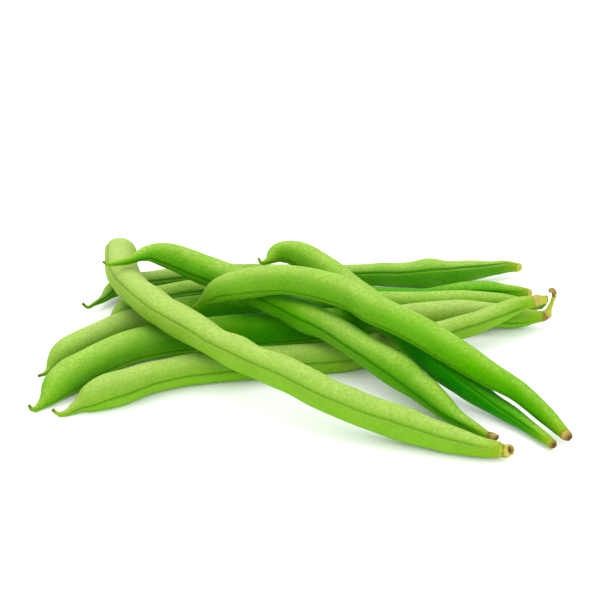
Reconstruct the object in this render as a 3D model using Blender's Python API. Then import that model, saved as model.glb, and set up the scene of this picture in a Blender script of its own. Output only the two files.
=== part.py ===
# A loose heap of fresh green bean pods lying on a flat surface.
# Five pods lie side by side on the floor, their beaks to the left and their stem ends to the right.
# Four more cross over them from the back left, and come down to the floor at the front right.
# Each pod is a tapered tube along a curved route, from its thin hooked beak to its stem end,
# where the cap that joined it to the plant and its broken stalk are a piece of their own.
# Lengths are in millimetres until they meet Blender, which works in metres.

import math

import bmesh
import bpy
from mathutils import Vector

mm = 0.001

pod_detail = 3        # bevel resolution of a pod's tube
stem_detail = 2
ring_spacing = 4.5    # distance between two rings along a pod
curve_steps = 12      # points worked out between two points of a route, before they are evened out
gap = 0.35            # clearance between a pod and its stem end
stem_foot = 0.5       # length of the stem end's straight foot against the pod
press = 0.3           # how far a pod's own weight flattens it where it meets the floor
beak_tip = 0.06       # half thickness at the tip of the beak, as a share of the pod's girth
tail_end = 0.36       # half thickness at the stem end, as a share of the pod's girth
heap_middle = (1.0, 1.75)    # middle of the heap's outline, which becomes the origin
floor_size = 300
floor_depth = 20

pod_green = (0.20, 0.46, 0.04, 1)
stem_tan = (0.42, 0.32, 0.09, 1)

# girth: half the pod's thickness near its beak and near its stem end
# beak, taper: the lengths over which it thins towards its two ends
# route: points from beak to stem end, as x, y and the height of the pod's underside
# stem: points of the stem end past the pod's end, as steps along the pod, to its left and up
pods = {
    "floor_front": dict(
        girth=(4.6, 4.2), beak=19, taper=26,
        route=[(-65.5, -33.5, 2.0), (-63.5, -33.2, 0.5), (-61.0, -32.0, 0.6), (-58.5, -30.1, 0.6),
               (-54.8, -27.9, 0.3), (-49.0, -25.0, 0), (-34.0, -16.0, 0), (-12.0, -10.0, 0),
               (6.5, -7.0, 0), (28.0, 1.0, 0.1), (42.0, 7.2, 1.1), (50.0, 9.7, 2.7),
               (55.5, 12.6, 4.4), (61.5, 15.5, 6.6), (66.0, 17.0, 8.3)],
        stem=[(1.4, 0, 0.1, 1.7), (2.4, 0, 0.3, 1.2), (5.0, 0, 0.3, 1.1)]),
    "floor_second": dict(
        girth=(4.9, 4.1), beak=20, taper=24,
        route=[(-72.2, -31.8, 2.5), (-70.9, -31.0, 0.7), (-69.2, -29.2, 0.8), (-67.8, -26.9, 0.7),
               (-65.5, -22.5, 0.5), (-62.0, -18.0, 0.1), (-48.0, -1.5, 0), (-38.5, 3.5, 0),
               (-28.5, 7.2, 0), (-11.5, 11.7, 0.2), (11.5, 15.8, 0.4), (41.5, 19.8, 0.9),
               (55.5, 20.1, 0.7), (63.5, 20.0, 0.6), (70.0, 21.5, 0.9)],
        stem=[(1.2, 0, 0.4, 1.6), (2.0, 0, 1.4, 1.0), (2.8, 0, 4.4, 0.75), (3.6, 0, 8.2, 0.75),
              (2.6, 0, 9.6, 0.8), (0.6, 0, 9.8, 0.9)]),
    "floor_third": dict(
        girth=(4.5, 3.75), beak=18, taper=26,
        route=[(-71.7, -13.2, 1.8), (-69.3, -9.2, 0.7), (-67.6, -6.3, 0.8), (-65.4, -3.2, 0.5),
               (-62.0, 0.5, 0.2), (-50.0, 13.0, 0), (-43.0, 18.0, 0), (-32.0, 23.2, 0),
               (-14.5, 27.2, 0), (6.0, 28.2, 0), (29.5, 28.4, 0), (47.0, 28.5, 0.1),
               (64.5, 29.2, 0.3), (70.0, 31.0, 0.8)],
        stem=[(1.2, 0, 0.1, 1.5), (2.8, 0, 0.3, 0.9)]),
    "floor_fourth": dict(
        girth=(4.25, 3.8), beak=17, taper=16,
        route=[(-56.4, 13.1, 1.8), (-54.3, 19.3, 0.6), (-50.6, 24.9, 0.3), (-47.5, 28.8, 0.1),
               (-39.5, 33.8, 0), (-29.5, 36.5, 0), (-12.0, 37.8, 0), (9.0, 38.0, 0),
               (29.5, 37.2, 0), (47.5, 36.7, 0), (59.5, 37.8, 0.1), (67.5, 40.6, 0.7)],
        stem=[(1.3, 0, 0.2, 1.5), (3.2, 0, 0.4, 1.2)]),
    "floor_rear": dict(
        girth=(4.1, 4.4), beak=19, taper=34,
        route=[(-64.0, 31.3, 3.0), (-62.6, 31.3, 1.5), (-60.8, 32.9, 1.4), (-58.9, 34.9, 1.0),
               (-53.7, 41.0, 0.1), (-46.5, 43.8, 0), (-30.0, 47.8, 0), (-12.0, 49.8, 0),
               (9.0, 48.6, 0), (29.5, 48.7, 0), (42.0, 49.8, 0), (56.5, 53.8, 0.4),
               (64.5, 57.0, 0.8)],
        stem=[(1.2, 0, 0, 1.5), (2.2, 0, 0, 1.1)]),
    "long_front": dict(
        girth=(4.85, 4.2), beak=18, taper=24,
        route=[(-55.0, 61.5, 3.5), (-54.6, 57.5, 4.6), (-54.2, 52.5, 6.4), (-53.5, 46.0, 8.2),
               (-51.2, 28.0, 9.1), (-46.2, 13.6, 9.6), (-36.2, -2.0, 9.7), (-25.7, -15.0, 9.4),
               (-16.5, -24.0, 9.0), (-3.5, -33.0, 7.6), (9.5, -41.3, 4.8), (19.5, -45.7, 2.6),
               (30.0, -49.8, 0.7), (39.5, -53.5, 0.2), (46.5, -56.0, 0.6), (50.8, -56.3, 1.1)],
        stem=[(1.5, 0, 0, 1.7), (3.4, 0, 0, 1.3)]),
    "middle": dict(
        girth=(4.7, 4.25), beak=27, taper=30,
        route=[(-56.4, 21.6, 20.6), (-54.6, 21.0, 19.9), (-52.3, 21.2, 19.8), (-49.1, 22.2, 19.6),
               (-46.5, 24.0, 19.4), (-43.8, 26.2, 18.4), (-41.0, 27.0, 16.8), (-38.1, 27.0, 15.2),
               (-34.7, 26.8, 13.8), (-29.4, 25.4, 12.4), (-18.6, 18.0, 10.8), (-4.8, 5.2, 9.6),
               (9.6, -10.0, 8.9), (20.0, -20.5, 7.7), (30.9, -28.6, 3.5), (35.1, -34.2, 2.1),
               (40.0, -40.4, 1.1), (47.5, -46.5, 0.8)],
        stem=[(1.2, 0, 0, 1.5), (2.6, 0, 0.6, 0.9)]),
    "top": dict(
        girth=(4.3, 4.45), beak=13, taper=42,
        route=[(-29.8, 7.2, 13.9), (-27.2, 6.9, 14.4), (-24.1, 6.5, 14.7), (-20.1, 5.4, 15.7),
               (-14.2, 4.8, 17.2), (-9.0, 4.0, 18.4), (-2.5, 2.4, 18.9), (8.0, -1.7, 18.8),
               (14.2, -6.6, 18.5), (20.2, -13.1, 17.8), (30.0, -18.7, 15.0), (40.0, -24.5, 11.4),
               (49.6, -31.3, 7.9), (57.0, -35.7, 5.6), (63.1, -41.4, 3.2), (66.5, -46.2, 1.9)],
        stem=[(1.4, 0, 0, 1.6), (3.0, 0, 0, 1.2)]),
    "back": dict(
        girth=(4.15, 4.1), beak=20, taper=52,
        route=[(-12.1, 32.4, 16.9), (-11.2, 30.8, 16.1), (-9.3, 32.2, 15.6), (-6.4, 35.5, 14.7),
               (-2.9, 36.2, 13.9), (0.9, 34.0, 13.1), (5.2, 30.0, 12.1), (9.6, 24.6, 11.1),
               (13.5, 18.2, 10.4), (21.1, 6.4, 9.4), (27.5, -6.0, 8.5), (35.2, -17.2, 5.7),
               (40.2, -22.6, 3.6), (48.9, -31.0, 1.3), (56.6, -39.6, 0.5), (61.6, -48.0, 0.4), (63.1, -50.6, 0.5)],
        stem=[(1.2, 0, 0, 1.4), (2.8, 0, 0, 1.0)]),
}


def smooth_through(points, spacing):
    """Points spaced evenly along a centripetal Catmull-Rom curve through the given points."""
    points = [Vector(point) for point in points]
    ends = [2 * points[0] - points[1]] + points + [2 * points[-1] - points[-2]]
    fine = []
    for before, start, stop, after in zip(ends, ends[1:], ends[2:], ends[3:]):
        knot_1 = math.sqrt((start - before).length)
        knot_2 = knot_1 + math.sqrt((stop - start).length)
        knot_3 = knot_2 + math.sqrt((after - stop).length)
        for step in range(curve_steps):
            at = knot_1 + (knot_2 - knot_1) * step / curve_steps
            low = before.lerp(start, at / knot_1)
            middle = start.lerp(stop, (at - knot_1) / (knot_2 - knot_1))
            high = stop.lerp(after, (at - knot_2) / (knot_3 - knot_2))
            left = low.lerp(middle, at / knot_2)
            right = middle.lerp(high, (at - knot_1) / (knot_3 - knot_1))
            fine.append(left.lerp(right, (at - knot_1) / (knot_2 - knot_1)))
    fine.append(points[-1])

    length = sum((b - a).length for a, b in zip(fine, fine[1:]))
    count = round(length / spacing)
    even = [fine[0]]
    walked = 0.0
    for a, b in zip(fine, fine[1:]):
        walked += (b - a).length
        if walked >= len(even) * length / count and len(even) < count:
            even.append(b)
    even.append(fine[-1])
    return even


def half_thickness(along, length, girth, beak, taper):
    """Half the pod's thickness at a distance along it from the tip of its beak."""
    full = girth[0] + (girth[1] - girth[0]) * along / length
    rise = min(along / beak, 1)
    fall = min((length - along) / taper, 1)
    beak_share = beak_tip + (1 - beak_tip) * rise * rise * (3 - 2 * rise)
    tail_share = tail_end + (1 - tail_end) * math.sin(fall * math.pi / 2)
    return full * beak_share * tail_share


def pod_line(pod):
    """The pod's middle line and its half thickness at each point of it."""
    underside = smooth_through(pod["route"], ring_spacing)
    walked = [0.0]
    for a, b in zip(underside, underside[1:]):
        walked.append(walked[-1] + (b - a).length)
    radii = [half_thickness(along, walked[-1], pod["girth"], pod["beak"], pod["taper"])
             for along in walked]
    middle = [Vector((point.x - heap_middle[0], point.y - heap_middle[1], point.z + radius - press))
              for point, radius in zip(underside, radii)]
    return middle, radii


def stem_line(middle, stem):
    """The stem end's middle line and radii, past the pod's end."""
    along = (middle[-1] - middle[-2]).normalized()
    left = Vector((0, 0, 1)).cross(along).normalized()
    start = middle[-1] + along * gap
    steps = [start + along * a + left * b + Vector((0, 0, c)) for a, b, c, _ in stem]
    radii = [radius for *_, radius in stem]
    return [start, start + along * stem_foot] + steps, [radii[0] * 0.85, radii[0]] + radii


def tube(name, points, radii, detail, collection):
    """A tapered tube through the points, with closed ends, as a mesh."""
    curve = bpy.data.curves.new(name, "CURVE")
    curve.dimensions = "3D"
    curve.twist_mode = "Z_UP"
    curve.bevel_depth = mm
    curve.bevel_resolution = detail
    curve.use_fill_caps = True
    spline = curve.splines.new("POLY")
    spline.points.add(len(points) - 1)
    for knot, point, radius in zip(spline.points, points, radii):
        knot.co = (*(point * mm), 1)
        knot.radius = radius
    rail = bpy.data.objects.new(name + "_rail", curve)
    collection.objects.link(rail)
    evaluated = rail.evaluated_get(bpy.context.evaluated_depsgraph_get())
    mesh = bpy.data.meshes.new_from_object(evaluated)
    bpy.data.objects.remove(rail)

    welded = bmesh.new()
    welded.from_mesh(mesh)
    bmesh.ops.remove_doubles(welded, verts=welded.verts, dist=0.00001)
    bmesh.ops.recalc_face_normals(welded, faces=welded.faces)
    welded.to_mesh(mesh)
    welded.free()
    mesh.name = name
    mesh.shade_smooth()
    mesh.set_sharp_from_angle(angle=math.radians(50))
    piece = bpy.data.objects.new(name, mesh)
    collection.objects.link(piece)
    return piece


def floor_slab(collection):
    """The ground under the heap, which cuts a pod's flat underside."""
    mesh = bpy.data.meshes.new("floor_slab")
    slab = bmesh.new()
    bmesh.ops.create_cube(slab, size=1)
    bmesh.ops.scale(slab, verts=slab.verts, vec=(floor_size * mm, floor_size * mm, floor_depth * mm))
    bmesh.ops.translate(slab, verts=slab.verts, vec=(0, 0, -floor_depth * mm / 2))
    slab.to_mesh(mesh)
    slab.free()
    cutter = bpy.data.objects.new("floor_slab", mesh)
    cutter.hide_render = True
    cutter.display_type = "WIRE"
    collection.objects.link(cutter)
    return cutter


def flatten(piece, cutter):
    """Cuts the piece off level with the floor, if it reaches it."""
    if min(vertex.co.z for vertex in piece.data.vertices) >= 0:
        return
    cut = piece.modifiers.new("floor_contact", "BOOLEAN")
    cut.operation = "DIFFERENCE"
    cut.object = cutter


def skin(name, colour, roughness):
    material = bpy.data.materials.new(name)
    material.use_nodes = True
    shader = material.node_tree.nodes["Principled BSDF"]
    shader.inputs["Base Color"].default_value = colour
    shader.inputs["Roughness"].default_value = roughness
    shader.inputs["Metallic"].default_value = 0
    return material


def main():
    for old in list(bpy.data.objects):
        bpy.data.objects.remove(old)
    bundle = bpy.data.collections.new("green_bean_bundle")
    cutters = bpy.data.collections.new("cutters")
    bpy.context.scene.collection.children.link(bundle)
    bpy.context.scene.collection.children.link(cutters)
    heap = bpy.data.objects.new("heap", None)
    bundle.objects.link(heap)
    slab = floor_slab(cutters)

    for name, pod in pods.items():
        middle, radii = pod_line(pod)
        body = tube("pod_" + name, middle, radii, pod_detail, bundle)
        body.data.materials.append(skin("pod_" + name, pod_green, 0.45))
        stalk = tube("stem_" + name, *stem_line(middle, pod["stem"]), stem_detail, bundle)
        stalk.data.materials.append(skin("stem_" + name, stem_tan, 0.8))
        for piece in (body, stalk):
            piece.parent = heap
            flatten(piece, slab)


main()
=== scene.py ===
import math

import bpy
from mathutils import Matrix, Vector, noise


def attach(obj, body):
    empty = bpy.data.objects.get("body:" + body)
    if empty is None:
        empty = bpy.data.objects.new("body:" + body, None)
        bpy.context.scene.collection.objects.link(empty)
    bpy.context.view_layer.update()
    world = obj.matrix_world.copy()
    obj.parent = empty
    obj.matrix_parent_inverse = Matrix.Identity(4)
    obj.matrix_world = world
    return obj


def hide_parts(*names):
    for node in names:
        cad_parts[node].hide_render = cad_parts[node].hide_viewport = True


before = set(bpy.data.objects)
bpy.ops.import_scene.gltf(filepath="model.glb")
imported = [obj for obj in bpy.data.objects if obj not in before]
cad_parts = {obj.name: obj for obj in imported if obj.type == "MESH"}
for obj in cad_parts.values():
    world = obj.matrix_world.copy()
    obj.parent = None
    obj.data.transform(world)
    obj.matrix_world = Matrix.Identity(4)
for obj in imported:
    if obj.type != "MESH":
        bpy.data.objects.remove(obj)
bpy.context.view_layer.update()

mm = 0.001                       # every size below is in millimetres until it meets Blender

# nine pods in a loose heap: five side by side on the floor, and four that cross over them
heap = dict(
    middle=(1.0, 1.75),    # middle of the heap's outline, which is the frame's origin
    press=0.3,             # how far a pod's own weight flattens it on the floor
    beakTip=0.06,          # half thickness at the tip of the beak, as a share of the pod's girth
    tailEnd=0.36,          # the same at the stem end
    sight=(0, 0.9063, -0.4226),    # outlines are square to this direction, 25 degrees down
    ringSpacing=0.75,      # distance between two rings of a pod's skin
    curveSteps=12,         # points worked out between two points of a route, before they are evened out
)

# angles round a pod from one seam to the other, close together at the seams
quarter = [0, 2, 4, 6.5, 10, 16, 25, 36, 49, 62, 76]
around = quarter + [90] + [180 - a for a in reversed(quarter)]
around = [math.radians(a) for a in around[:-1]]
around = around + [a + math.pi for a in around]

# girth: half thickness near the beak and near the stem end
# beak, taper: the lengths over which a pod thins towards its two ends
# route: beak to stem end, as x, y and the height of the pod's underside
# seam: where the seam runs, in degrees from the top towards the front, at even steps from the beak
# outline: the half thickness above and below the middle line, at a distance from the beak's tip
# light: how pale the skin is, from -1 to 1, at even steps from the beak; partly its own tone, partly painted
# light and shade
# line: how dark the seam is; shade: how much painted shade deepens the green of the sides and the underside
# stem: points of the stem end past the pod's end, as steps along it, to its left and up, and half thickness
# ends: colours of the stem end, from the pod outwards; hollow: depth of its broken end
pods = {
    "floor_front": dict(
        girth=(4.6, 4.2), beak=19, taper=26,
        seam=[88, 86, 85, 84, 79, 82, 74, 69, 92], line=0.6,
        light=[0.85, 0.65, 0.7, 0.6, 0.7, 0.9, 0.65, 0.7, 0.4],
        outline=[(0, 0.42, 0.42), (2, 0.6, 0.6), (5, 0.9, 1.1), (8, 1.7, 2.1), (10, 2.9, 3.7),
                 (12, 3.7, 4.5), (15, 4.3, 5.1), (18, 4.5, 5.2), (23, 4.7, 4.7), (28, 4.7, 4.2),
                 (33, 4.3, 4.2), (40, 4.6, 4.3), (50, 4.6, 4.6), (58, 4.5, 4.8), (66, 4.3, 4.6),
                 (74, 4.3, 4.6), (82, 4.4, 4.9), (90, 4.4, 4.6), (100, 4.3, 4.3), (110, 4.1, 3.8),
                 (118, 3.9, 3.1), (125, 3.6, 2.9), (131, 3.4, 2.7), (136, 3, 2.1),
                 (140, 2.6, 1.6), (143.7, 1.8, 1.4)],
        route=[(-65.6, -33.4, 2.2), (-64.4, -33.5, 0.9), (-62.4, -33.0, 0.3), (-60.2, -31.6, 0.4),
               (-58.0, -30.0, 0.5), (-54.8, -27.9, 0.3), (-49.0, -25.0, 0), (-34.0, -16.0, 0),
               (-12.0, -9.6, 0), (6.5, -6.5, 0), (28.0, 1.3, 0.1), (42.0, 7.2, 1.1),
               (50.0, 9.7, 2.7), (55.5, 12.6, 4.4), (61.5, 15.5, 6.6), (67.2, 17.4, 8.7)],
        stem=[(1.2, 0, 0.1, 1.65), (1.9, 0, 0, 1.15), (3.9, 0, -0.3, 1.05)],
        ends=[(0, "tan"), (0.3, "tan"), (0.45, "lime"), (0.85, "lime"), (1, "brown")]),
    "floor_second": dict(
        girth=(4.9, 4.1), beak=20, taper=24,
        seam=[100, 105, 106, 107, 107, 106, 104, 100, 95], line=0.6,
        light=[0.25, 0.3, 0.4, 0.15, -0.3, -0.1, 0.9, 0.9, 0.3],
        outline=[(0, 0.42, 0.42), (2, 0.65, 0.65), (5, 1.15, 1.15), (8, 2.1, 2.5), (11, 3.4, 3.7),
                 (14, 4.2, 4.3), (18, 4.7, 4.7), (24, 4.8, 4.3), (30, 4.8, 4.4), (38, 4.9, 4.7),
                 (46, 4.9, 4.8), (55, 4.9, 4.8), (65, 5, 4.7), (75, 5, 5.1), (85, 4.9, 5.2),
                 (95, 4.8, 4.9), (105, 4.5, 4.6), (115, 3.8, 4.3), (125, 3.9, 4.2), (135, 4, 4.1),
                 (143, 3.7, 3.9), (150, 3.2, 3.5), (155, 2.7, 2.9), (158, 2.3, 2.1),
                 (161.3, 1.6, 1.5)],
        route=[(-72.0, -31.6, 2.5), (-71.4, -31.5, 1.1), (-70.0, -30.1, 0.5), (-68.7, -28.4, 0.6),
               (-67.5, -26.2, 0.6), (-65.5, -22.5, 0.5), (-62.0, -18.0, 0.1), (-48.0, -1.5, 0),
               (-38.5, 3.5, 0), (-28.5, 6.7, 0), (-11.5, 10.6, 0), (11.5, 14.6, 0.1),
               (41.5, 19.8, 0.9), (55.5, 20.1, 1.1), (63.5, 20.2, 1.3), (70.0, 21.7, 1.9)],
        stem=[(0.9, 0, 0.3, 1.4), (1.7, 0, 1.1, 0.8), (2.6, 0, 3.6, 0.58), (3.5, 0, 6.9, 0.6),
              (3.0, 0, 8.4, 0.72), (1.9, 0, 8.2, 0.7)],
        ends=[(0, "olive"), (0.1, "brown"), (0.18, "tan"), (0.28, "lime"), (0.7, "lime"),
              (0.8, "brown"), (1, "tan")]),
    "floor_third": dict(
        girth=(4.5, 3.75), beak=18, taper=26,
        seam=[110, 110, 110, 110, 110], line=0.5,
        light=[0.5, 0.75, 0.95, 0.1, 0.0, 0.4, 0.4, 0.4, 0.3],
        outline=[(0, 0.38, 0.38), (4, 0.8, 0.8), (7, 2.1, 1.9), (10, 3.4, 3.3), (13, 4, 4),
                 (17, 3.95, 4.3), (25, 4.2, 4.4), (33, 4.4, 4.3), (45, 4.5, 4.2), (56, 4.6, 4.1),
                 (70, 4.2, 4.1), (90, 4.1, 4), (110, 4.1, 4), (122, 4, 3.8), (132, 4.3, 3.4),
                 (140, 4.3, 2.9), (148, 3.9, 2.4), (154, 2.8, 1.9), (158, 1.7, 1.5)],
        route=[(-71.7, -13.2, 1.8), (-69.3, -9.2, 0.7), (-67.6, -6.3, 0.8), (-65.4, -3.2, 0.5),
               (-62.0, 0.5, 0.2), (-50.0, 13.0, 0), (-43.0, 18.0, 0), (-32.0, 23.2, 0),
               (-14.5, 27.2, 0), (6.0, 28.2, 0), (29.5, 28.4, 0), (47.0, 28.5, 0.1),
               (64.5, 29.2, 0.6), (69.6, 31.0, 1.5)],
        stem=[(1.2, 0, 0.1, 1.5), (2.8, 0, 0.3, 0.9)],
        ends=[(0, "leaf"), (0.7, "leaf"), (1, "olive")]),
    "floor_fourth": dict(
        girth=(4.25, 3.8), beak=17, taper=16,
        seam=[60, 60, 60, 62, 62], line=0.6,
        light=[0.4, 0.9, 0.6, 0.0, -0.6, -0.9, -1.0, -0.5, 0.0],
        outline=[(0, 0.42, 0.42), (2, 0.5, 0.5), (5, 0.7, 0.9), (8, 1.7, 1.9), (11, 2.9, 3.1),
                 (15, 3.8, 3.9), (22, 3.9, 4.1), (30, 3.9, 4.1), (36, 4.1, 4.1), (50, 4, 4),
                 (70, 3.8, 4), (82, 3, 4), (92, 1.7, 3.9), (100, 1.5, 3.9), (106, 1.7, 3.9),
                 (111, 2.6, 3.8), (116, 3.6, 3.8), (120, 3.9, 3.6), (125, 3.7, 3.3),
                 (129, 3.1, 2.8), (133, 2.4, 2), (136, 1.7, 1.4)],
        route=[(-56.4, 13.1, 1.8), (-54.3, 19.3, 0.6), (-50.6, 24.9, 0.3), (-47.5, 28.8, 0.1),
               (-39.5, 33.8, 0), (-29.5, 36.5, 0), (-12.0, 37.8, 0), (9.0, 38.0, 0),
               (29.5, 37.2, 0), (47.5, 36.7, 0), (59.5, 37.8, 0.1), (67.5, 40.6, 0.7)],
        stem=[(0.7, 0, 0.1, 1.3), (1.7, 0, 0.2, 0.9)],
        ends=[(0, "lime"), (0.5, "straw"), (1, "tan")]),
    "floor_rear": dict(
        girth=(4.1, 4.4), beak=19, taper=34,
        seam=[60, 60, 60, 60, 60, 60, 58, 50, 36], line=0.65, shade=0.5,
        light=[0.5, 0.95, 0.8, 0.4, 0.4, 0.5, 0.4, 0.4, 0.4],
        outline=[(0, 0.42, 0.42), (2, 0.5, 0.5), (5, 0.65, 0.65), (9, 1.4, 1.4), (12, 2.7, 2),
                 (16, 3.5, 2.8), (22, 3.5, 3.9), (28, 3.6, 4.1), (40, 3.7, 4.1), (53, 3.5, 4.1),
                 (60, 3.2, 4.1), (67, 3.4, 4.2), (78, 3.5, 4), (86, 3.6, 3.3), (93, 4.1, 3.3),
                 (98, 3.9, 3.5), (104, 4.6, 3.9), (108, 5.1, 4), (113, 4.4, 3.5), (118, 4.1, 2.9),
                 (123, 3.7, 2.2), (128, 3.3, 1.5), (132, 3, 1.05), (135, 2.3, 0.9),
                 (136.1, 1.9, 0.9)],
        route=[(-64.0, 31.3, 3.0), (-62.6, 31.3, 1.5), (-60.8, 32.9, 1.4), (-58.9, 34.9, 1.0),
               (-53.7, 41.0, 0.1), (-46.5, 43.8, 0), (-30.0, 47.8, 0), (-12.0, 49.8, 0),
               (9.0, 48.6, 0), (29.5, 48.7, 0), (42.0, 49.8, 0), (56.5, 53.8, 0.4),
               (66.1, 57.8, 0.9)],
        stem=[(0.8, 0, 0, 1.35), (1.6, 0, -0.2, 1.0)],
        ends=[(0, "lime"), (0.8, "lime"), (1, "tan")]),
    "long_front": dict(
        girth=(4.85, 4.2), beak=18, taper=24,
        seam=[50, 52, 60, 62, 64, 65, 64, 62, 60], line=0.42,
        light=[1.0, 1.0, 0.95, 0.9, 0.8, 0.7, 0.65, 0.6, 0.65],
        outline=[(0, 0.38, 0.38), (4, 1.3, 1.3), (8, 2.9, 2.9), (12, 4.2, 4.2), (16, 4.7, 4.8),
                 (22, 4.7, 4.9), (30, 4.8, 4.9), (40, 4.9, 4.5), (50, 5, 4), (57, 5.5, 4.1),
                 (65, 5.2, 4.1), (77, 5.8, 3.8), (84, 5.3, 3.4), (90, 4.9, 3.6), (97, 5.5, 3.9),
                 (104, 4.8, 4), (114, 5.3, 4.2), (126, 4.9, 4.3), (132, 5.2, 4.2),
                 (138, 4.9, 4.1), (145, 5.3, 4.2), (152, 4.9, 3.9), (160, 4.1, 3.3),
                 (166, 3.7, 2.5), (171, 3, 1.9), (174, 2.4, 1.7)],
        route=[(-55.0, 61.5, 3.5), (-54.6, 57.5, 4.6), (-54.2, 52.5, 6.4), (-53.5, 46.0, 8.2),
               (-51.2, 28.0, 9.1), (-46.2, 13.6, 9.6), (-36.2, -2.0, 9.7), (-25.7, -15.0, 9.4),
               (-16.5, -24.0, 9.0), (-3.5, -33.0, 7.6), (9.5, -41.3, 4.8), (19.5, -45.7, 2.6),
               (30.0, -49.8, 0.7), (39.5, -53.5, 0.2), (46.5, -56.0, 0.6), (50.8, -56.3, 1.1)],
        stem=[(1.2, 0, 0, 1.6), (2.2, -0.3, 0.4, 1.6), (2.9, -0.8, 1.0, 1.3)], hollow=1.3,
        ends=[(0, "lime"), (0.3, "olive"), (0.55, "lime"), (0.8, "straw"), (1, "tan")]),
    "middle": dict(
        girth=(4.7, 4.25), beak=27, taper=30,
        seam=[100, 108, 92, 70, 72, 76, 80, 82, 78], line=0.9, shade=0.2,
        light=[0.05, 0.2, 0.15, 0.05, 0.0, 0.4, 0.2, 0.15, 0.2],
        outline=[(0, 0.38, 0.38), (5, 0.9, 0.6), (10, 1.5, 1.2), (14, 2.5, 2), (18, 4, 2.5),
                 (22, 4.8, 2.8), (27, 4.8, 3.6), (31, 4.7, 4), (36, 5, 4), (42, 5.3, 4),
                 (50, 5, 3.8), (58, 4.6, 3.5), (65, 4.6, 3.5), (72, 5, 4), (80, 4.8, 3.2),
                 (87, 4.5, 3.5), (92, 4.2, 4.1), (97, 3.9, 4.3), (104, 4.5, 4.9), (108, 4.4, 4.8),
                 (113, 3.7, 4.2), (117, 4, 3.6), (122, 3.5, 2.9), (127, 2.8, 2.4),
                 (132, 1.9, 1.9), (137.5, 1.1, 1.4), (139.3, 0.9, 1.1)],
        route=[(-56.4, 21.6, 20.6), (-54.6, 21.0, 19.9), (-52.3, 21.2, 19.8), (-49.1, 22.2, 19.6),
               (-46.5, 24.0, 19.4), (-43.8, 26.2, 18.4), (-41.0, 27.0, 16.8), (-38.1, 27.0, 15.2),
               (-34.7, 26.8, 13.8), (-29.4, 25.4, 12.4), (-18.6, 18.0, 10.8), (-4.8, 5.2, 9.6),
               (9.6, -10.0, 8.9), (20.0, -20.5, 7.7), (30.9, -28.6, 3.5), (35.1, -34.2, 2.1),
               (40.0, -40.4, 1.1), (47.5, -46.5, 0.8), (48.9, -47.7, 0.9)],
        stem=[(0.8, 0, 0.1, 1.2), (1.6, 0, 0.5, 0.8), (2.6, 0, 0.4, 0.75)],
        ends=[(0, "olive"), (0.3, "brown"), (0.7, "tan"), (1, "brown")]),
    "top": dict(
        girth=(4.3, 4.45), beak=13, taper=42,
        seam=[95, 105, 114, 113, 112, 114, 114, 110, 105], line=0.5, shade=0.12,
        light=[0.45, 0.45, 0.4, 0.35, 0.3, 0.2, 0.0, -0.2, -0.2],
        outline=[(0, 0.38, 0.38), (3, 0.8, 0.6), (5, 1.9, 1.3), (8, 3.7, 2.8), (11, 4.3, 3.4),
                 (15, 4.5, 3.9), (22, 4.5, 4), (29, 4.6, 3.6), (36, 4.6, 4), (42, 4.4, 4.2),
                 (50, 3.9, 3.9), (56, 4, 4.2), (64, 4.2, 3.9), (72, 4.2, 3.9), (80, 3.9, 4),
                 (87, 3.8, 3.7), (95, 3.4, 3), (103, 2.9, 2.4), (110, 2.5, 2.1), (116, 1.9, 1.7),
                 (118.6, 1.6, 1.4)],
        route=[(-31.0, 7.4, 12.3), (-27.8, 7.0, 13.7), (-24.1, 6.5, 14.7), (-20.1, 5.4, 15.7),
               (-14.2, 4.8, 17.2), (-9.0, 4.0, 18.4), (-2.5, 2.4, 18.9), (8.0, -1.7, 18.8),
               (14.2, -6.6, 18.5), (20.2, -13.1, 17.8), (30.0, -18.7, 15.0), (40.0, -24.5, 11.4),
               (49.6, -31.3, 7.9), (57.0, -35.7, 5.6), (63.1, -41.4, 3.2), (66.9, -46.2, 1.9),
               (68.4, -48.4, 1.5)],
        stem=[(0.8, 0, 0.1, 1.35), (1.8, 0, 0.1, 0.95)],
        ends=[(0, "olive"), (0.4, "tan"), (1, "brown")]),
    "back": dict(
        girth=(4.15, 4.1), beak=20, taper=52,
        seam=[-75, -72, -65, -50, -20, 20, 45, 60, 60], line=0.3,
        light=[0.2, 0.25, 0.2, 0.1, -0.4, -0.8, -0.9, -0.8, -0.2],
        outline=[(0, 0.38, 0.38), (4, 1, 0.8), (7, 2.4, 1.5), (10, 3.9, 2.3), (13, 4.15, 3),
                 (20, 3.9, 4), (30, 4, 4.1), (40, 3.9, 4.1), (55, 4, 4.1), (70, 3.9, 3.8),
                 (80, 3.7, 3.9), (90, 3.4, 3.7), (100, 3, 3.1), (107, 2.6, 2.6), (113, 2.3, 1.9),
                 (118, 2.3, 1.3), (121, 2.2, 0.9), (124, 2.1, 0.7), (126, 1.9, 0.6)],
        route=[(-12.1, 32.4, 16.9), (-11.2, 30.8, 16.1), (-9.3, 32.2, 15.6), (-6.4, 35.5, 14.7),
               (-2.9, 36.2, 13.9), (0.9, 34.0, 13.1), (5.2, 30.0, 12.1), (9.6, 24.6, 11.1),
               (13.5, 18.2, 10.4), (21.1, 6.4, 9.4), (27.5, -6.0, 8.5), (35.2, -17.2, 5.7),
               (40.2, -22.6, 3.6), (48.9, -31.0, 1.3), (56.6, -39.6, 0.5), (61.6, -48.0, 0.4),
               (64.2, -52.4, 0.6)],
        stem=[(0.5, 0, 0, 1.15), (1.0, 0, 0, 0.85)],
        ends=[(0, "lime"), (0.6, "olive"), (1, "brown")]),
}


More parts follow.
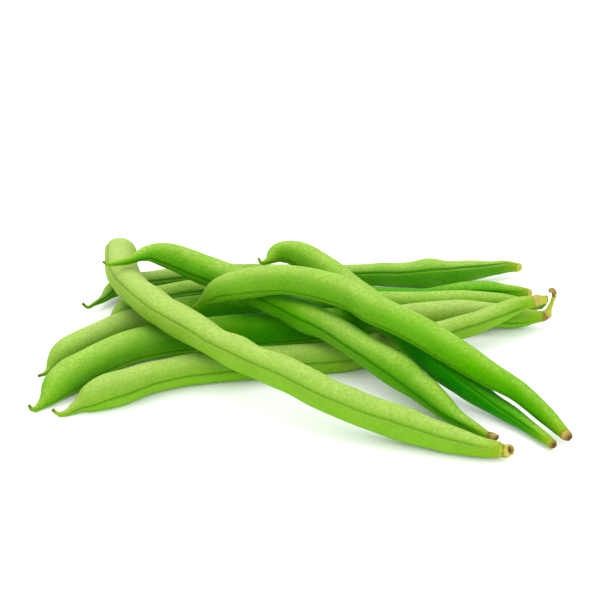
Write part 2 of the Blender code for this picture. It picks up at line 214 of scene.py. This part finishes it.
def smoothThrough(points, spacing):
    # evenly spaced points along a centripetal Catmull-Rom curve
    points = [Vector(point) for point in points]
    ends = [2 * points[0] - points[1]] + points + [2 * points[-1] - points[-2]]
    fine = []
    for before, start, stop, after in zip(ends, ends[1:], ends[2:], ends[3:]):
        knotA = math.sqrt((start - before).length)
        knotB = knotA + math.sqrt((stop - start).length)
        knotC = knotB + math.sqrt((after - stop).length)
        for step in range(heap["curveSteps"]):
            at = knotA + (knotB - knotA) * step / heap["curveSteps"]
            low = before.lerp(start, at / knotA)
            middle = start.lerp(stop, (at - knotA) / (knotB - knotA))
            high = stop.lerp(after, (at - knotB) / (knotC - knotB))
            left = low.lerp(middle, at / knotB)
            right = middle.lerp(high, (at - knotA) / (knotC - knotA))
            fine.append(left.lerp(right, (at - knotA) / (knotB - knotA)))
    fine.append(points[-1])

    length = sum((b - a).length for a, b in zip(fine, fine[1:]))
    count = round(length / spacing)
    even = []
    walked = 0.0
    for a, b in zip(fine, fine[1:]):
        step = (b - a).length
        while len(even) < count and walked + step >= len(even) * length / count:
            even.append(a.lerp(b, (len(even) * length / count - walked) / step))
        walked += step
    even.append(fine[-1])
    return even


def ease(x):
    x = min(max(x, 0), 1)
    return x * x * (3 - 2 * x)


def readAlong(values, share):
    # smooth reading of a list of values set at even steps
    at = share * (len(values) - 1)
    step = min(int(at), len(values) - 2)
    return values[step] + (values[step + 1] - values[step]) * ease(at - step)


def halfThickness(pod, along, length):
    full = pod["girth"][0] + (pod["girth"][1] - pod["girth"][0]) * along / length
    rise = ease(along / pod["beak"])
    fall = min((length - along) / pod["taper"], 1)
    tail = heap["tailEnd"] + (1 - heap["tailEnd"]) * math.sin(fall * math.pi / 2)
    return full * (heap["beakTip"] + (1 - heap["beakTip"]) * rise) * tail


def readOutline(outline, along):
    # the half thicknesses above and below the middle line, smooth between the outline's stations
    step = 0
    while step < len(outline) - 2 and along > outline[step + 1][0]:
        step += 1
    near = outline[max(step - 1, 0):step + 3]
    start, stop = outline[step], outline[step + 1]
    before, after = near[0], near[-1]
    gap = stop[0] - start[0]
    t = min(max((along - start[0]) / gap, 0), 1)
    sizes = []
    for side in (1, 2):
        slopeA = (stop[side] - before[side]) / (stop[0] - before[0]) * gap
        slopeB = (after[side] - start[side]) / (after[0] - start[0]) * gap
        sizes.append((2 * t ** 3 - 3 * t * t + 1) * start[side] + (t ** 3 - 2 * t * t + t) * slopeA
                     + (3 * t * t - 2 * t ** 3) * stop[side] + (t ** 3 - t * t) * slopeB)
    return sizes


def podLine(pod):
    # middle line, half thickness and distance from the beak, ring by ring
    underside = smoothThrough(pod["route"], heap["ringSpacing"])
    walked = [0.0]
    for a, b in zip(underside, underside[1:]):
        walked.append(walked[-1] + (b - a).length)
    middleX, middleY = heap["middle"]
    line = [Vector((p.x - middleX, p.y - middleY,
                    p.z + halfThickness(pod, along, walked[-1]) - heap["press"]))
            for p, along in zip(underside, walked)]
    middle = []
    radii = []
    for centre, along, (forward, back, up) in zip(line, walked, ringAxes(line)):
        above, below = readOutline(pod["outline"], along * pod["outline"][-1][0] / walked[-1])
        across = forward.cross(Vector(heap["sight"])).normalized()
        middle.append(centre + across * ((above - below) / 2))
        radii.append((above + below) / 2)
    return middle, radii, walked


def ringAxes(middle):
    # for each ring: the way along, the way to the back and the way up, square to each other
    axes = []
    for index in range(len(middle)):
        before = middle[max(index - 1, 0)]
        after = middle[min(index + 1, len(middle) - 1)]
        forward = (after - before).normalized()
        back = Vector((0, 0, 1)).cross(forward).normalized()
        axes.append((forward, back, forward.cross(back)))
    return axes


def skinMesh(name, rings, marks, material):
    # a closed skin over rings of points, with a point at each end; marks are named values per point
    count = len(rings[0])
    points = [point * mm for ring in rings for point in ring]
    faces = []
    for row in range(len(rings) - 1):
        for k in range(count):
            near, far = row * count + k, row * count + (k + 1) % count
            faces.append((near, near + count, far + count, far))
    for row, turn in ((0, 1), (len(rings) - 1, -1)):
        centre = len(points)
        points.append(sum(rings[row], Vector()) / count * mm)
        for k in range(count):
            edge = (row * count + k, row * count + (k + 1) % count)
            faces.append((centre, *edge[::turn]))
    mesh = bpy.data.meshes.new(name)
    mesh.from_pydata(points, [], faces)
    for label, values in marks.items():
        layer = mesh.attributes.new(label, "FLOAT", "POINT")
        layer.data.foreach_set("value", list(values) + [values[0], values[-1]])
    mesh.materials.append(material)
    mesh.shade_smooth()
    piece = bpy.data.objects.new(name, mesh)
    bpy.context.scene.collection.objects.link(piece)
    return piece


skin = dict(
    oval=0.03,             # how much taller a pod is across its seams than across its sides
    ridge=0.12, ridgeWidth=1.5,    # the seam stands on a low ridge
    groove=0.24, grooveWidth=0.34,    # and runs in a fine groove
    seamWobble=0.05, wobbleLength=18,
    seedGap=13.0, seedSwell=0.16,
    seedDrift=0.25, driftLength=25,    # the seeds are not quite evenly spaced
    dent=0.10, dentSize=7.0,       # slow unevenness of the skin
    pore=0.02, poreSize=1.1,
    seamEnd=9.0,           # the seam fades over this length at both ends
    beakReach=14, stemReach=12,    # how far the colours of the two ends reach along the pod
    floorLift=0.01,
)


def podRings(name, pod):
    middle, radii, walked = podLine(pod)
    axes = ringAxes(middle)
    length = walked[-1]
    shift = Vector((sum(map(ord, name)) % 97, 0, 0))    # each pod reads its own stretch of the noise
    rings = []
    marks = dict(seam=[], beak=[], tail=[], seed=[], pale=[])
    for centre, radius, along, (forward, back, up) in zip(middle, radii, walked, axes):
        seamAngle = math.radians(readAlong(pod["seam"], along / length))
        seamAngle += skin["seamWobble"] * noise.noise(shift + Vector((0, along / skin["wobbleLength"], 5)))
        fade = min(ease(along / skin["seamEnd"]), ease((length - along) / skin["seamEnd"]))
        wander = skin["seedDrift"] * noise.noise(shift + Vector((0, along / skin["driftLength"], 9)))
        seed = 0.5 - 0.5 * math.cos(2 * math.pi * (along / skin["seedGap"] + wander))
        # how pale the skin is here, partly its own tone and partly painted light and shade
        pale = readAlong(pod["light"], along / length)
        ring = []
        for angle in around:
            way = up * math.cos(angle + seamAngle) - back * math.sin(angle + seamAngle)
            place = centre + way * radius + shift
            side = abs(math.sin(angle))
            fromSeam = radius * min(angle, abs(angle - math.pi), 2 * math.pi - angle)
            line = math.exp(-(fromSeam / skin["grooveWidth"]) ** 2) * fade
            crest = math.exp(-(fromSeam / skin["ridgeWidth"]) ** 2) * fade
            bulk = radius * (1 + skin["oval"] * math.cos(2 * angle) * fade)
            bulk += skin["ridge"] * crest - skin["groove"] * line
            bulk += skin["seedSwell"] * (seed - 0.5) * side * side * fade
            bulk += skin["dent"] * noise.noise(place / skin["dentSize"]) * fade
            bulk += skin["pore"] * noise.noise(place / skin["poreSize"]) * fade
            point = centre + way * bulk
            point.z = max(point.z, skin["floorLift"])
            ring.append(point)
            marks["seam"].append(line)
            marks["beak"].append(1 - min(along / skin["beakReach"], 1))
            marks["tail"].append(1 - min((length - along) / skin["stemReach"], 1))
            marks["seed"].append(seed * side * fade)
            marks["pale"].append(pale)
        rings.append(ring)
    return rings, marks


def addNode(tree, kind, inputs=None, **settings):
    node = tree.nodes.new(kind)
    for key, value in settings.items():
        setattr(node, key, value)
    for key, value in (inputs or {}).items():
        if isinstance(value, bpy.types.NodeSocket):
            tree.links.new(value, node.inputs[key])
        else:
            node.inputs[key].default_value = value
    return node


def mixColour(tree, share, first, second, blend="MIX"):
    node = addNode(tree, "ShaderNodeMix", data_type="RGBA", blend_type=blend)
    for index, value in ((0, share), (6, first), (7, second)):
        if isinstance(value, bpy.types.NodeSocket):
            tree.links.new(value, node.inputs[index])
        else:
            node.inputs[index].default_value = value
    return node.outputs[2]


def maths(tree, operation, first, second=0.0, clamp=False):
    node = addNode(tree, "ShaderNodeMath", {0: first, 1: second}, operation=operation, use_clamp=clamp)
    return node.outputs[0]


def product(tree, first, second):
    return maths(tree, "MULTIPLY", first, second)


def mark(tree, label):
    return addNode(tree, "ShaderNodeAttribute", attribute_name=label).outputs["Fac"]


def cloud(tree, place, scale, detail=2.0):
    # soft noise round one half
    inputs = {"Vector": place, "Scale": scale, "Detail": detail}
    return addNode(tree, "ShaderNodeTexNoise", inputs).outputs["Fac"]


def spread(tree, value, low, high):
    # 0 at low, 1 at high, and even in between
    return addNode(tree, "ShaderNodeMapRange", {0: value, 1: low, 2: high}).outputs[0]


# lit and shaded copies of the skin's green: Top is painted light, Side painted shade, Under painted light
# bounced up from the floor; pale, mid and deep follow each pod's light list
skinColours = dict(
    paleTop=(0.29, 0.40, 0.10, 1), paleSide=(0.20, 0.33, 0.03, 1), paleUnder=(0.15, 0.38, 0.001, 1),
    midTop=(0.16, 0.35, 0.006, 1), midSide=(0.06, 0.27, 0.0, 1), midUnder=(0.11, 0.40, 0.0, 1),
    deepTop=(0.06, 0.29, 0.004, 1), deepSide=(0.0, 0.17, 0.0, 1), deepUnder=(0.0, 0.20, 0.0, 1),
    paintedHighlight=(0.48, 0.62, 0.16, 1),     # painted highlight on open tops, as a velvety skin catches the light from above
    creviceShade=(0.0, 0.18, 0.0, 1),     # painted shade where two pods lie close together
    seam=(0.02, 0.12, 0.0, 1),
    young=(0.22, 0.31, 0.01, 1),     # yellower green of the beak and the stem end
    dry=(0.08, 0.055, 0.01, 1),      # brown tip of the beak
)

finish = dict(
    mottleScale=110, grainScale=1250, fuzzScale=2600,
    shelter=20,            # how far off a neighbour still adds painted shade to the skin, in millimetres
    rimLightSide=(0.1, 0.62, 0.78),       # the way the skin with the painted rim highlight faces, up and to the back
    # the first two are the strength of the painted highlight on open tops and of the painted rim highlight
    topHighlight=0.34, rimHighlight=0.75, seedPale=0.22, mottleDeep=0.4,
    tailYoung=0.75, beakYoung=0.5, tipDry=0.85,
    paleKept=0.75,         # how far pale skin is spared the painted shade between other pods
    brightness=0.79, grainBright=0.15, mottleBright=0.12,
    bumpHeight=0.0002, bumpStrength=0.9, grainShare=0.6,
    gloss={"Specular IOR Level": 0.03, "Specular Tint": (0.7, 1.0, 0.3, 1),
           "Sheen Weight": 0.02, "Sheen Roughness": 0.5, "Sheen Tint": (0.75, 1.0, 0.35, 1)},
    flesh={"Subsurface Weight": 0.3, "Subsurface Radius": (0.4, 1.2, 0.05), "Subsurface Scale": mm},
)


def podMaterial(name, pod):
    material = bpy.data.materials.new("podSkin_" + name)
    material.use_nodes = True
    tree = material.node_tree
    shader = tree.nodes["Principled BSDF"]
    place = addNode(tree, "ShaderNodeTexCoord").outputs["Object"]
    colours = skinColours
    # pale and deep skin from the pod's light list, partly painted light and shade
    pale = mark(tree, "pale")
    deep = maths(tree, "MULTIPLY", pale, -1, clamp=True)
    top, side, under = (mixColour(tree, deep, mixColour(tree, pale, colours["mid" + part],
                                                        colours["pale" + part]), colours["deep" + part])
                        for part in ("Top", "Side", "Under"))
    # painted shade: the sides and the underside are mixed towards the deep green between pods
    shade = pod.get("shade", 0.0)
    side, under = (mixColour(tree, shade, part, colours["creviceShade"]) for part in (side, under))

    # which way the skin faces, and how open it lies
    normal = addNode(tree, "ShaderNodeNewGeometry").outputs["Normal"]
    facing = addNode(tree, "ShaderNodeSeparateXYZ", {0: normal}).outputs["Z"]
    toRimLight = addNode(tree, "ShaderNodeVectorMath", {0: normal, 1: finish["rimLightSide"]}, operation="DOT_PRODUCT")
    toRimLight = toRimLight.outputs["Value"]
    nearness = {"Distance": finish["shelter"] * mm}
    openness = addNode(tree, "ShaderNodeAmbientOcclusion", nearness, samples=8).outputs["AO"]
    mottle = spread(tree, cloud(tree, place, finish["mottleScale"], 4), 0.3, 0.7)
    grain = spread(tree, cloud(tree, place, finish["grainScale"], 2), 0.3, 0.7)

    # painted light: paler on top, a painted highlight on open tops, and palest where a painted rim highlight
    # faces up and to the back
    # painted light and shade: the under, side and top copies, chosen by which way the skin faces
    colour = mixColour(tree, spread(tree, facing, -0.7, 0.15), under, side)
    colour = mixColour(tree, spread(tree, facing, 0.4, 1.0), colour, top)
    # painted highlight on open skin that faces up
    topHighlight = product(tree, spread(tree, facing, 0.7, 1.0), maths(tree, "ADD", grain, 0.4))
    topHighlight = product(tree, topHighlight, spread(tree, openness, 0.45, 0.85))
    topHighlight = product(tree, topHighlight, maths(tree, "SUBTRACT", finish["topHighlight"], product(tree, deep, 0.3)))
    colour = mixColour(tree, topHighlight, colour, colours["paintedHighlight"])
    # painted rim highlight on open skin that faces up and to the back, as a light from behind would give
    paintedRim = product(tree, spread(tree, toRimLight, 0.89, 1.0), spread(tree, openness, 0.5, 0.9))
    paintedRim = product(tree, paintedRim, maths(tree, "SUBTRACT", finish["rimHighlight"], product(tree, deep, 0.4)))
    colour = mixColour(tree, paintedRim, colour, colours["paintedHighlight"])
    colour = mixColour(tree, product(tree, mark(tree, "seed"), finish["seedPale"]), colour, top)
    colour = mixColour(tree, product(tree, mottle, finish["mottleDeep"]), colour, side)

    # the two ends and the seam
    tail = maths(tree, "POWER", mark(tree, "tail"), 2.5)
    colour = mixColour(tree, product(tree, tail, finish["tailYoung"]), colour, colours["young"])
    beak = mark(tree, "beak")
    young = product(tree, maths(tree, "POWER", beak, 2.0), finish["beakYoung"])
    colour = mixColour(tree, young, colour, colours["young"])
    tip = product(tree, spread(tree, beak, 0.89, 0.99), finish["tipDry"])
    colour = mixColour(tree, tip, colour, colours["dry"])
    colour = mixColour(tree, product(tree, mark(tree, "seam"), pod["line"]), colour, colours["seam"])

    # painted shade: deeper green where other pods close over the skin, and a slight speckle all over
    paintedShade = product(tree, spread(tree, openness, 0.65, 0.15), spread(tree, facing, -0.4, 0.35))
    paleKept = maths(tree, "MULTIPLY", pale, finish["paleKept"], clamp=True)
    paintedShade = product(tree, paintedShade, maths(tree, "SUBTRACT", 1.0, paleKept))
    colour = mixColour(tree, paintedShade, colour, colours["creviceShade"])
    speckle = maths(tree, "ADD", product(tree, grain, finish["grainBright"]),
                    product(tree, mottle, finish["mottleBright"]))
    value = maths(tree, "ADD", speckle, finish["brightness"])
    colour = addNode(tree, "ShaderNodeHueSaturation", {"Color": colour, "Value": value}).outputs[0]
    tree.links.new(colour, shader.inputs["Base Color"])

    fuzz = cloud(tree, place, finish["fuzzScale"], 2)
    height = maths(tree, "ADD", product(tree, grain, finish["grainShare"]), fuzz)
    bump = addNode(tree, "ShaderNodeBump", {"Height": height, "Distance": finish["bumpHeight"],
                                            "Strength": finish["bumpStrength"]})
    tree.links.new(bump.outputs["Normal"], shader.inputs["Normal"])
    tree.links.new(spread(tree, grain, -2.4, 2.4), shader.inputs["Roughness"])
    for label, amount in {**finish["gloss"], **finish["flesh"]}.items():
        shader.inputs[label].default_value = amount
    return material


stub = dict(
    sides=36, spacing=0.25,
    seat=0.3,              # how far the stem end sits into the pod
    flare=1.04,            # how much wider it is than the pod's end
    folds=7, foldDepth=0.10, foldTurn=3,    # dry folds run along it and turn a little
    bumpDepth=0.18, bumpReach=1.3,
    hollow=0.4,            # depth of the broken end, unless a pod gives its own
    cup=((0.05, 0.86), (0.45, 0.7), (0.85, 0.55), (1.0, 0.2)),    # the broken end, as depth and width
)


def stemRings(pod):
    middle, radii, walked = podLine(pod)
    along = (middle[-1] - middle[-2]).normalized()
    left = Vector((0, 0, 1)).cross(along).normalized()
    steps = [middle[-1] - along * stub["seat"]]
    steps += [middle[-1] + along * a + left * b + Vector((0, 0, c)) for a, b, c, _ in pod["stem"]]
    line = smoothThrough(steps, stub["spacing"])
    sizes = [radii[-1] * stub["flare"]] + [size for *_, size in pod["stem"]]
    axes = ringAxes(line)
    rings = []
    marks = dict(reach=[], cut=[])
    for index, (centre, (_, back, up)) in enumerate(zip(line, axes)):
        share = index / (len(line) - 1)
        size = readAlong(sizes, share)
        ring = []
        for k in range(stub["sides"]):
            angle = 2 * math.pi * k / stub["sides"]
            way = up * math.cos(angle) - back * math.sin(angle)
            crease = stub["foldDepth"] * math.sin(stub["folds"] * angle + stub["foldTurn"] * share)
            crease += stub["bumpDepth"] * noise.noise(centre + way * stub["bumpReach"])
            ring.append(centre + way * size * (1 + crease * min(share * 4, 1)))
            marks["reach"].append(share)
            marks["cut"].append(0.0)
        rings.append(ring)
    forward = axes[-1][0]
    hollow = pod.get("hollow", stub["hollow"])
    rim = rings[-1]
    for depth, size in stub["cup"]:
        centre = line[-1] - forward * hollow * depth
        rings.append([centre + (point - line[-1]) * size for point in rim])
        marks["reach"] += [1.0] * len(rim)
        marks["cut"] += [depth] * len(rim)
    return rings, marks


stalkColours = dict(
    leaf=(0.05, 0.20, 0.002, 1), lime=(0.30, 0.38, 0.02, 1), olive=(0.16, 0.20, 0.012, 1),
    straw=(0.46, 0.40, 0.07, 1), tan=(0.36, 0.29, 0.06, 1), brown=(0.14, 0.075, 0.018, 1),
    hollow=(0.07, 0.035, 0.01, 1),
)


def stemMaterial(name, pod):
    material = bpy.data.materials.new("dryStalk_" + name)
    material.use_nodes = True
    tree = material.node_tree
    shader = tree.nodes["Principled BSDF"]
    place = addNode(tree, "ShaderNodeTexCoord").outputs["Object"]
    mottle = spread(tree, cloud(tree, place, 900, 3), 0.3, 0.7)
    reach = maths(tree, "ADD", mark(tree, "reach"), product(tree, mottle, 0.14))
    ramp = addNode(tree, "ShaderNodeValToRGB", {"Fac": maths(tree, "SUBTRACT", reach, 0.07)})
    stops = ramp.color_ramp.elements
    while len(stops) < len(pod["ends"]):
        stops.new(0.5)
    for stop, (share, _) in zip(stops, pod["ends"]):
        stop.position = share
    for stop, (_, label) in zip(stops, pod["ends"]):
        stop.color = stalkColours[label]
    streak = product(tree, mottle, 0.35)
    colour = mixColour(tree, streak, ramp.outputs["Color"], stalkColours["brown"])
    colour = mixColour(tree, mark(tree, "cut"), colour, stalkColours["hollow"])
    tree.links.new(colour, shader.inputs["Base Color"])
    bump = addNode(tree, "ShaderNodeBump", {"Height": mottle, "Distance": 0.00015, "Strength": 0.8})
    tree.links.new(bump.outputs["Normal"], shader.inputs["Normal"])
    shader.inputs["Roughness"].default_value = 0.7
    shader.inputs["Specular IOR Level"].default_value = 0.2
    return material


for name, pod in pods.items():
    body = skinMesh("bean_" + name, *podRings(name, pod), podMaterial(name, pod))
    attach(body, "root")
    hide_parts("pod_" + name)
    end = skinMesh("stalk_" + name, *stemRings(pod), stemMaterial(name, pod))
    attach(end, "root")
    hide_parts("stem_" + name)
    print("pod and stem end:", name)


studio = dict(
    floorSize=6.0, floorDrop=0.02,
    floorColours=((0.90, 0.91, 0.90, 1), (0.92, 0.92, 0.92, 1)),
    lights=dict(keyLight=((-0.30, 0.60, 0.90), 1.5, 9),    # place, size and power
                fillLight=((0.2, -0.9, 0.45), 0.9, 7)),
    sky=1.32,
    lens=120, tilt=25, distance=0.598,
    target=(-0.0010, 0.03873, -0.0003),
)


def makeFloor():
    size, drop = studio["floorSize"], studio["floorDrop"] * mm
    mesh = bpy.data.meshes.new("paleFloor")
    corners = [(x * size, y * size, -drop) for x, y in ((-1, -1), (1, -1), (1, 1), (-1, 1))]
    mesh.from_pydata(corners, [], [(0, 1, 2, 3)])
    floor = bpy.data.objects.new("paleFloor", mesh)
    bpy.context.scene.collection.objects.link(floor)
    material = bpy.data.materials.new("paleFloor")
    material.use_nodes = True
    tree = material.node_tree
    shader = tree.nodes["Principled BSDF"]
    place = addNode(tree, "ShaderNodeTexCoord").outputs["Object"]
    soft = spread(tree, cloud(tree, place, 40, 2), 0.2, 0.8)
    tree.links.new(mixColour(tree, soft, *studio["floorColours"]), shader.inputs["Base Color"])
    shader.inputs["Roughness"].default_value = 0.6
    shader.inputs["Specular IOR Level"].default_value = 0.2
    mesh.materials.append(material)


def makeLight(name, place, size, power):
    # a round soft light turned towards the heap
    lamp = bpy.data.lights.new(name, "AREA")
    lamp.shape = "DISK"
    lamp.size = size
    lamp.energy = power
    thing = bpy.data.objects.new(name, lamp)
    thing.location = place
    thing.rotation_euler = (-Vector(place)).to_track_quat("-Z", "Y").to_euler()
    bpy.context.scene.collection.objects.link(thing)


def makeSky():
    world = bpy.data.worlds.new("softSky")
    world.use_nodes = True
    sky = world.node_tree.nodes["Background"]
    sky.inputs["Color"].default_value = (1, 1, 1, 1)
    sky.inputs["Strength"].default_value = studio["sky"]
    bpy.context.scene.world = world


def makeCamera():
    lens = bpy.data.cameras.new("camera")
    lens.lens = studio["lens"]
    lens.sensor_width = 36
    lens.clip_start = 0.01
    lens.clip_end = 50
    camera = bpy.data.objects.new("camera", lens)
    tilt = math.radians(studio["tilt"])
    back = Vector((0, -math.cos(tilt), math.sin(tilt)))
    camera.location = Vector(studio["target"]) + back * studio["distance"]
    camera.rotation_euler = (math.pi / 2 - tilt, 0, 0)
    bpy.context.scene.collection.objects.link(camera)
    bpy.context.scene.camera = camera


makeFloor()
for name, settings in studio["lights"].items():
    makeLight(name, *settings)
makeSky()
makeCamera()
bpy.context.scene.view_settings.view_transform = "Standard"
print("floor, light and camera")
